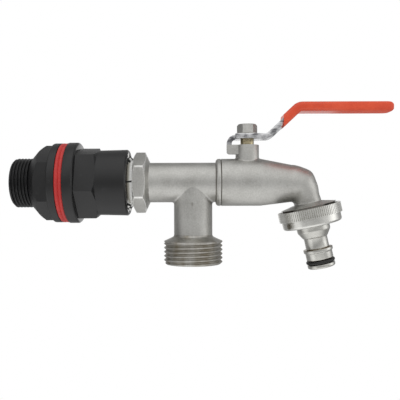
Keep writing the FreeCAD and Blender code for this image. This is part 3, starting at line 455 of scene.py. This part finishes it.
# What each CAD node is finished with, and the width of its softened edges in millimetres
nodeFinish = {
    "tank_connector_body": ("blackPlastic", 0.3),
    "lock_nut": ("blackPlastic", 0.35),
    "flange_gasket": ("redRubber", 0),
    "thread_seal_tape": ("threadTape", 0),
    "inlet_tee": ("edgeHighlitNickel", 0.4),
    "tap_body": ("blastedNickel", 0.2),
    "body_joint_seal": ("blackRubber", 0),
    "inlet_ball_seat": ("whitePlastic", 0),
    "outlet_ball_seat": ("whitePlastic", 0),
    "ball": ("polishedChrome", 0),
    "stem": ("bareBrass", 0.12),
    "stem_thrust_washer": ("whitePlastic", 0),
    "stem_o_ring_lower": ("blackRubber", 0),
    "stem_o_ring_upper": ("blackRubber", 0),
    "lever": ("zincSteel", 0.2),
    "lever_sleeve": ("redSleeve", 0.2),
    "lever_nut": ("blastedNickel", 0.15),
    "union_nut": ("knurledNickel", 0),
    "hose_nozzle": ("turnedNickel", 0.2),
    "nozzle_o_ring": ("blackRubber", 0),
    "connector_washer": ("blackRubber", 0),
}
softEdge = {"weldGap": 0.000002, "pointGap": 0.00000003, "sharpFrom": math.radians(28), "segments": 2}


def smoothShade(piece, edgeWidth):
    # Loose triangles are welded by a modifier, edges are softened, and the rest shades as curves
    mesh = piece.data
    mesh.polygons.foreach_set("use_smooth", np.ones(len(mesh.polygons), dtype=bool))
    weld = piece.modifiers.new("weld", "WELD")
    weld.merge_threshold = softEdge["weldGap"]
    if edgeWidth:
        bevel = piece.modifiers.new("softEdges", "BEVEL")
        bevel.width = edgeWidth * mm
        bevel.segments = softEdge["segments"]
        bevel.limit_method = "ANGLE"
        bevel.angle_limit = softEdge["sharpFrom"]
        rejoin = piece.modifiers.new("rejoin", "WELD")  # softened corners that end in a point
        rejoin.merge_threshold = softEdge["pointGap"]
    split = piece.modifiers.new("sharpEdges", "EDGE_SPLIT")
    split.split_angle = softEdge["sharpFrom"]


for name, (finish, edgeWidth) in nodeFinish.items():
    nodes[name].data.materials.clear()
    nodes[name].data.materials.append(finishes[finish])
    smoothShade(nodes[name], edgeWidth)
print("nodes dressed:", len(nodeFinish))

tiny = 1e-6  # keeps divisions from zero


def gridMesh(name, points, finish, paint):
    # points: rows x columns x 3; both the rows and the columns run round and close on themselves
    rows, columns = points.shape[:2]
    index = np.arange(rows * columns).reshape(rows, columns)
    upper = np.roll(index, -1, axis=0)
    faces = np.stack([index, np.roll(index, -1, axis=1), np.roll(upper, -1, axis=1), upper], axis=-1)
    mesh = bpy.data.meshes.new(name)
    mesh.from_pydata(points.reshape(-1, 3).tolist(), [], faces.reshape(-1, 4).tolist())
    mesh.polygons.foreach_set("use_smooth", np.ones(len(mesh.polygons), dtype=bool))
    for layer, values in paint.items():
        mesh.attributes.new(layer, "FLOAT", "POINT").data.foreach_set("value", values.ravel())
    mesh.materials.append(finishes[finish])
    return addObject(name, mesh)


def sideways(axis):
    # two unit vectors square to the axis, right-handed about it
    first = np.cross(axis, (0.0, 1.0, 0.0))
    first /= np.linalg.norm(first)
    return first, np.cross(axis, first)


def ridgeWave(phase):
    # rounded thread form: 0 on the crest, 1 in the root
    wave = np.abs((phase % 1.0) * 2 - 1)
    return wave * wave * (3 - 2 * wave)


def threadSleeve(spec):
    # radius = plain outline - depth x ridge wave(along / pitch - turn) where the outline is threaded
    axis = np.array(spec["axis"], dtype=float)
    first, second = sideways(axis)
    turn = np.arange(spec["around"]) * fullTurn / spec["around"]
    length = np.linspace(spec["from"], spec["to"], spec["steps"])
    closing = np.array(spec["close"])
    along = np.concatenate([length, closing[:, 0]])
    radius = np.concatenate([np.interp(length, *np.array(spec["outline"]).T), closing[:, 1]])
    cut = np.interp(along, *np.array(spec["cut"]).T)
    cut[spec["steps"]:] = 0
    wave = ridgeWave(along[:, None] / spec["pitch"] - turn[None, :] / fullTurn)
    root = spec["crest"] - spec["depth"]
    depth = np.maximum(0, radius[:, None] - np.maximum(root, spec["crest"] - spec["depth"] * wave))
    radii = radius[:, None] - depth * cut[:, None]
    rim = np.cos(turn)[:, None] * first + np.sin(turn)[:, None] * second
    points = np.array(spec["origin"]) + along[:, None, None] * axis + radii[:, :, None] * rim[None]
    hollow = depth / spec["depth"] * cut[:, None]
    return gridMesh(spec["piece"], points * mm, spec["finish"], {"hollow": hollow})


def vertexPlaces(mesh):
    places = np.empty(len(mesh.vertices) * 3)
    mesh.vertices.foreach_get("co", places)
    return places.reshape(-1, 3) / mm


def roundAxis(mesh, origin, axis):
    # each vertex as its distance along the axis and its way out from it, in millimetres
    offset = vertexPlaces(mesh) - np.array(origin)
    along = offset @ axis
    return along, offset - along[:, None] * axis


def wallRadius(node, origin, axis, low, high):
    along, outward = roundAxis(nodes[node].data, origin, np.array(axis, dtype=float))
    return float(np.linalg.norm(outward, axis=1)[(along > low) & (along < high)].max())


def trimmedCopy(spec):
    # the node's shape with its plain thread band drawn in under the sleeve
    mesh = nodes[spec["node"]].data.copy()
    mesh.name = spec["node"] + "_core"
    merged = bmesh.new()
    merged.from_mesh(mesh)
    bmesh.ops.remove_doubles(merged, verts=merged.verts, dist=softEdge["weldGap"])
    merged.to_mesh(mesh)
    merged.free()
    axis = np.array(spec["axis"], dtype=float)
    along, outward = roundAxis(mesh, spec["origin"], axis)
    radius = np.linalg.norm(outward, axis=1)
    low, high = spec["band"]
    core = np.interp(along, *np.array(spec["core"]).T)
    inBand = (along > low) & (along < high) & (radius > core) & (radius < spec["crest"] + spec["slack"])
    shrink = np.where(inBand, core / np.maximum(radius, tiny), 1.0)
    places = np.array(spec["origin"]) + along[:, None] * axis + outward * shrink[:, None]
    mesh.vertices.foreach_set("co", (places * mm).ravel())
    # faces in the groove behind the spout's thread get the painted groove shade
    if "grimeAndShade" in spec:  # whole faces, so that the paint ends at the groove's edges
        low, high = spec["grimeAndShade"]
        inside = (along > low) & (along < high) & (radius > core - spec["slack"])
        corners = np.empty(len(mesh.loops), dtype=int)
        mesh.loops.foreach_get("vertex_index", corners)
        mesh.materials.append(finishes["spoutGrooveShade"])
        mesh.polygons.foreach_set("material_index", inside[corners].reshape(-1, 3).all(axis=1).astype(int))
    piece = addObject(spec["node"] + "_core", mesh)
    smoothShade(piece, nodeFinish[spec["node"]][1])
    return piece


# The spout's elbow turns more tightly than its sections: each swell has its turn about the inner corner, its
# spread and the share by which the sections grow there
elbow = {"corner": (125.1, -13.3), "gap": 2.0, "turns": (12.3, 90.0), "reach": 26.0, "ease": 3.0,
         "swells": [(58, 10.5, 0.06), (24, 9.5, -0.04)]}


def tightenElbow(mesh, spec):
    # growth = 1 + ease x sum of share x exp(-((turn - middle) / spread)^2), about the inner corner
    places = vertexPlaces(mesh)
    right = places[:, 0] - spec["corner"][0]
    up = places[:, 2] - spec["corner"][1]
    reach = np.hypot(right, up)
    turn = np.degrees(np.arctan2(up, right))
    low, high = spec["turns"]
    inside = (turn > low) & (turn < high) & (reach > spec["gap"]) & (reach < spec["reach"])
    easeIn = 1 - np.exp(-((turn - low) / spec["ease"]) ** 2)
    easeOut = 1 - np.exp(-((high - turn) / spec["ease"]) ** 2)
    swell = np.zeros_like(turn)
    for middle, spread, share in spec["swells"]:
        swell += share * np.exp(-((turn - middle) / spread) ** 2)
    growth = 1 + np.where(inside, easeIn * easeOut * swell, 0)
    moved = (spec["gap"] + (reach - spec["gap"]) * growth) / np.maximum(reach, tiny)
    places[inside, 0] = spec["corner"][0] + (right * moved)[inside]
    places[inside, 2] = spec["corner"][1] + (up * moved)[inside]
    mesh.vertices.foreach_set("co", (places * mm).ravel())


# Where the outlet's and the spigot's threads are, in millimetres along their own axes
threadPlaces = {"aboveOutlet": 3.3, "branchFrom": 25, "spigotFrom": 5, "spigotTo": 40, "spigotWall": 1.62,
                "sleeveInside": 0.2}
outletRadius = mounts["branch_outlet"]["dims"]["r_mm"]
outletHalf = mounts["branch_outlet"]["dims"]["length_mm"] / 2
outletPlace = np.array(mounts["branch_outlet"]["pos_m"]) / mm
outletTop = -outletPlace[2] - outletHalf
outletBottom = -outletPlace[2] + outletHalf
outletEnd = -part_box("inlet_tee")[0][2] / mm
outletBand = outletTop - threadPlaces["aboveOutlet"]
branchRadius = wallRadius("inlet_tee", (outletPlace[0], 0, 0), (0, 0, -1),
                          threadPlaces["branchFrom"], outletBand)
spigotEnd = -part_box("tank_connector_body")[0][0] / mm
spigotRadius = wallRadius("tank_connector_body", (0, 0, 0), (-1, 0, 0),
                          threadPlaces["spigotFrom"], threadPlaces["spigotTo"])
spigotCore = spigotRadius - threadPlaces["spigotWall"]
spigotInside = spigotCore - threadPlaces["sleeveInside"]
print("threads placed")

# The shoulder runs into the branch in a curve: (along, radius) = centre + size x (sin, -cos) of the turn
shoulder = {"drop": 2.6, "size": 1.6, "lift": 0.03, "points": 9}
shoulderSlope = math.atan2(outletRadius - branchRadius, shoulder["drop"])
shoulderStart = outletTop - shoulder["drop"] - shoulder["size"] * math.tan(shoulderSlope / 2)
shoulderFoot = branchRadius + shoulder["lift"]
shoulderCurve = [(shoulderStart + shoulder["size"] * math.sin(turn),
                  shoulderFoot + shoulder["size"] * (1 - math.cos(turn)))
                 for turn in np.linspace(0, shoulderSlope, shoulder["points"])]

# Each sleeve has its outline, how deep it is cut and how it closes inside, as points (along, value). The
# piece under it is drawn in to the core
outletThread = {
    "piece": "outlet_thread", "node": "inlet_tee", "body": "tap", "slot": "plated_brass",
    "finish": "threadedNickel", "origin": (outletPlace[0], 0, 0), "axis": (0, 0, -1),
    "pitch": 2.309, "depth": 1.05, "crest": outletRadius, "slack": 0.2,
    "from": shoulderStart, "to": outletEnd, "steps": 120, "around": 160,
    "outline": shoulderCurve + [(outletTop, outletRadius), (outletBottom, outletRadius),
                                (outletEnd, outletRadius - 1.2)],
    "cut": [(outletTop + 0.2, 0), (outletTop + 1.0, 1), (outletEnd, 1)],
    "close": [(outletEnd, 14.5), (outletEnd - 0.3, 14.3), (outletTop + 0.6, 10.8),
              (outletTop - 2.9, branchRadius - 0.15)],
    "band": (outletBand, outletEnd + 0.8), "core": [(outletTop, 11.0), (outletEnd - 1.2, 14.5)],
}
spigotThread = {
    "piece": "spigot_thread", "node": "tank_connector_body", "body": "tap", "slot": "black_plastic",
    "finish": "blackPlastic", "origin": (0, 0, 0), "axis": (-1, 0, 0),
    "pitch": 1.814, "depth": 1.05, "crest": spigotRadius, "slack": 0.2,
    "from": -0.3, "to": spigotEnd, "steps": 230, "around": 140,
    "outline": [(-0.3, spigotRadius), (spigotEnd - 1.2, spigotRadius), (spigotEnd, spigotRadius - 1.2)],
    "cut": [(2.0, 0), (4.0, 1), (spigotEnd, 1)],
    "close": [(spigotEnd, spigotCore), (spigotEnd - 0.3, spigotInside), (0.0, spigotInside)],
    "band": (-0.05, spigotEnd + 0.5), "core": [(0, spigotCore)],
}
spoutThread = {
    "piece": "spout_thread", "node": "tap_body", "body": "tap", "slot": "plated_brass",
    "finish": "threadedNickel", "origin": tuple(np.array(spoutMouth) / mm), "axis": tuple(spoutAxis),
    "pitch": 2.309, "depth": 1.3, "crest": outletRadius, "slack": 0.2,
    "from": 0.6, "to": 5.0, "steps": 40, "around": 160,
    "outline": [(0.6, outletRadius), (5.0, outletRadius)],
    "cut": [(0.6, 1), (5.0, 1)],
    "close": [(5.0, 15.0), (4.8, 14.8), (0.8, 14.8), (0.6, 15.0)],
    "band": (0.55, 5.4), "core": [(0, 14.9)], "grimeAndShade": (-0.95, 5.4), "elbow": elbow,
}
for spec in (outletThread, spigotThread, spoutThread):
    core = trimmedCopy(spec)
    if "elbow" in spec:
        tightenElbow(core.data, spec["elbow"])
    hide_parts(spec["node"])
    sleeve = threadSleeve(spec)
    for piece in (core, sleeve):
        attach(piece, spec["body"])
    print("thread cut:", spec["piece"])

# Wound thread tape: a smooth band inside the socket, torn and bunched where the joint leaves a gap.
# Each tuft: angle up from the front, its spread, place along the pipe past the socket, length along it,
# height. Each tear is a stroke of painted shadow: from one place along the pipe and height over its axis to
# another, and its width
tapeWrap = {
    "piece": "tape_wrap", "node": "thread_seal_tape", "body": "tap", "slot": "white_tape",
    "finish": "threadTape", "around": 720, "rows": 60, "inside": 0.01, "end": 0.02, "margin": 0.03,
    "ragged": 0.16, "waves": 37, "wander": 3, "wanderWaves": 11, "slant": 4,
    "tufts": [(66, 15, 0.22, 0.3, 4.5), (68, 9, 0.9, 0.9, 3.0), (64, 7, 2.0, 0.9, 1.5),
              (-63, 14, 0.22, 0.3, 4.3), (-66, 9, 1.0, 0.9, 3.4), (-63, 7, 2.1, 0.9, 2.0),
              (128, 9, 0.3, 0.35, 3.4), (137, 4, 1.4, 0.5, 2.6), (-118, 10, 0.3, 0.35, 3.6),
              (-171, 6, 1.2, 0.5, 1.8)],
    "shadowTears": [(0.4, 17.8, 0.8, 15.7, 0.6), (0.8, 15.7, 1.3, 14.3, 0.6), (1.3, 14.3, 3.0, 12.3, 0.7),
              (1.3, 14.3, 0.1, 12.7, 0.6), (0.2, 12.5, 1.0, 11.6, 1.6), (0.1, 11.0, 0.3, 10.0, 0.6),
              (0.3, -12.2, 1.4, -12.9, 1.2), (0.1, -14.5, 3.0, -13.6, 0.55), (1.6, -13.3, 1.9, -15.6, 0.5),
              (2.6, -13.9, 2.3, -16.1, 0.5), (0.4, -15.0, 1.0, -17.2, 0.4)],
    "tearEdge": (1.5, 2), "split": 2.3, "splitSlant": 0.4, "splitFloor": 0.05, "white": 0.8,
}


def makeTapeWrap(spec):
    # radius = band + tallest tuft x ragged wave - split
    # tuft = height x exp(-(angle / spread)^4 - (place / length)^4)
    # ragged wave = 1 - ragged + ragged x sin(waves x angle + wander x sin(wanderWaves x angle)
    # + slant x along)
    pipe = np.array((1.0, 0, 0))
    low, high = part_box(spec["node"])
    start, end = low[0] / mm, high[0] / mm
    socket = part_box("tank_connector_body")[1][0] / mm
    wall = np.linalg.norm(roundAxis(nodes[spec["node"]].data, (0, 0, 0), pipe)[1], axis=1)
    inner, outer = wall.min() + spec["inside"], wall.max()
    last = end - spec["end"]
    along = np.concatenate([[start], np.linspace(socket, last, spec["rows"]), [last, start]])
    place = along[:, None] - socket
    angle = math.pi - np.arange(spec["around"]) * fullTurn / spec["around"]
    degrees = np.degrees(angle)[None, :]
    inGap = ((along > socket + spec["margin"]) & (along < end - spec["margin"]))[:, None]
    wander = spec["wander"] * np.sin(spec["wanderWaves"] * angle[None, :])
    wave = np.sin(spec["waves"] * angle[None, :] + wander + spec["slant"] * along[:, None])
    ragged = 1 - spec["ragged"] + spec["ragged"] * wave
    lift = np.zeros((len(along), spec["around"]))
    for tuftAngle, spread, tuftPlace, length, height in spec["tufts"]:
        away = ((degrees - tuftAngle) / spread) ** 4 + ((place - tuftPlace) / length) ** 4
        lift = np.maximum(lift, height * np.exp(-away))
    lift = lift * ragged * inGap
    split = np.exp(-((degrees - spec["splitSlant"] * place) / spec["split"]) ** 4) * inGap
    radius = outer + lift - (outer - inner - spec["splitFloor"]) * split
    radius[-2:] = inner
    sheet = np.stack(np.broadcast_arrays(place, radius * np.sin(angle)[None, :]), axis=-1)
    # the split and the tears are painted black as shadow
    tornShadow = split
    full, slope = spec["tearEdge"]
    for shadowTear in spec["shadowTears"]:
        near = np.array(shadowTear[:2])
        far = np.array(shadowTear[2:4]) - near
        share = np.clip((sheet - near) @ far / (far @ far), 0, 1)
        away = np.linalg.norm(sheet - near - share[:, :, None] * far, axis=2)
        tornShadow = np.maximum(tornShadow, inGap * np.clip(full - away / shadowTear[4] * slope, 0, 1))
    ring = np.stack([np.zeros_like(angle), -np.cos(angle), np.sin(angle)], axis=-1)
    points = radius[:, :, None] * ring[None] + along[:, None, None] * pipe
    paint = {"hollow": tornShadow, "raised": np.clip(lift / spec["white"], 0, 1)}
    return gridMesh(spec["piece"], points * mm, spec["finish"], paint)


tape = makeTapeWrap(tapeWrap)
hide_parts(tapeWrap["node"])
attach(tape, tapeWrap["body"])
print("tape wound")

# The studio: white to the camera on all sides, with a matte floor well below that mirrors do not see. They
# see a grey room with soft strips of light. Each strip: its direction, the cosines of the angles from it at
# which it begins and is full, how bright it is
studio = {
    "floorDrop": 0.5, "floorSize": 2.0, "floorWhite": 0.9, "ambient": 0.85,
    "front": 0.41, "frontFade": (0.1, 0.9), "sides": 0.34, "behind": 0.95, "behindFade": (0.88, 0.99),
    "strips": [
        ((0, -0.55, 0.83), (0.5, 0.98), 0.56),
        ((0, -0.34, -0.94), (0.35, 0.97), 0.72),
        ((0.8, -0.6, 0), (0.6, 0.97), 0.14),
        ((0.97, -0.24, 0), (0.92, 0.985), 0.6),
        ((0.99, 0.1, 0), (0.93, 0.99), 0.4),
        ((0.93, -0.12, 0.34), (0.93, 0.99), 0.6),
        ((-0.88, -0.25, -0.4), (0.86, 0.98), 0.6),
        ((-0.99, 0.1, 0), (0.9, 0.99), -0.24),
    ],
}


def makeFloor(spec):
    half = spec["floorSize"] / 2
    height = cadBox[0][2] - spec["floorDrop"]
    corners = [(-half, -half, height), (half, -half, height), (half, half, height), (-half, half, height)]
    mesh = bpy.data.meshes.new("floor")
    mesh.from_pydata(corners, [], [(0, 1, 2, 3)])
    floor = addObject("floor", mesh)
    material, bench = newFinish("paleFloor")
    matte = bench.add("ShaderNodeBsdfDiffuse", None, {"Color": rgb(*[spec["floorWhite"]] * 3)})
    glow = bench.add("ShaderNodeEmission", None, {"Color": rgb(1, 1, 1), "Strength": 1.0})
    clear = bench.add("ShaderNodeBsdfTransparent")
    mixed = bench.add("ShaderNodeMixShader", None, {0: bench.lightPath("Is Camera Ray"), 1: matte, 2: glow})
    mixed = bench.add("ShaderNodeMixShader", None, {0: bench.lightPath("Is Glossy Ray"), 1: mixed, 2: clear})
    bench.add("ShaderNodeOutputMaterial", None, {"Surface": mixed})
    mesh.materials.append(material)


def makeWorld(spec):
    world = bpy.data.worlds.new("studio")
    bpy.context.scene.world = world
    bench = Bench(world)
    direction = bench.add("ShaderNodeTexCoord", output="Generated")
    depth = bench.part(direction, "Y")
    room = (depth * -1.0).step(*spec["frontFade"]) * (spec["front"] - spec["sides"]) + spec["sides"]
    room = room + depth.step(*spec["behindFade"]) * (spec["behind"] - spec["sides"])
    for centre, fade, level in spec["strips"]:
        room = room + bench.measure("DOT_PRODUCT", direction, centre).step(*fade) * level
    camera = bench.lightPath("Is Camera Ray")
    glossy = bench.lightPath("Is Glossy Ray")
    strength = camera + glossy * room + (1 - camera) * (1 - glossy) * spec["ambient"]
    background = bench.add("ShaderNodeBackground", None, {"Color": rgb(1, 1, 1), "Strength": strength})
    bench.add("ShaderNodeOutputWorld", None, {"Surface": background})


lamps = {
    "topBox": {"at": (0.05, -0.2, 0.6), "aim": (0.08, 0, 0), "size": 0.7, "watts": 0.3},
    "leftBox": {"at": (-0.45, -0.45, 0.3), "aim": (0.08, 0, 0), "size": 0.5, "watts": 0.2},
    "rightBox": {"at": (0.6, -0.35, 0.2), "aim": (0.08, 0, 0), "size": 0.5, "watts": 0.15},
}


def makeLamp(name, spec):
    light = bpy.data.lights.new(name, "AREA")
    light.energy = spec["watts"]
    light.size = spec["size"]
    lamp = addObject(name, light)
    lamp.location = spec["at"]
    lamp.rotation_euler = (Vector(spec["aim"]) - Vector(spec["at"])).to_track_quat("-Z", "Y").to_euler()


makeFloor(studio)
makeWorld(studio)
for name, spec in lamps.items():
    makeLamp(name, spec)

# The photograph's view: nearly square to the pipe, a short lens close by
view = {"frame": 400, "lensPixels": 535.5, "at": (73.1, -305.3, -10.15), "aimRight": 0.04, "aimUp": 0.03,
        "roll": 0.2, "film": 36, "near": 0.01}


def makeCamera(spec):
    camera = bpy.data.cameras.new("photoView")
    camera.sensor_width = spec["film"]
    camera.lens = spec["film"] * spec["lensPixels"] / spec["frame"]
    camera.clip_start = spec["near"]
    eye = addObject("photoView", camera)
    eye.location = metres(spec["at"])
    turns = (90 + spec["aimUp"], spec["roll"], -spec["aimRight"])
    eye.rotation_euler = [math.radians(turn) for turn in turns]
    bpy.context.scene.camera = eye


makeCamera(view)
bpy.context.scene.view_settings.view_transform = "Standard"
print("studio ready")
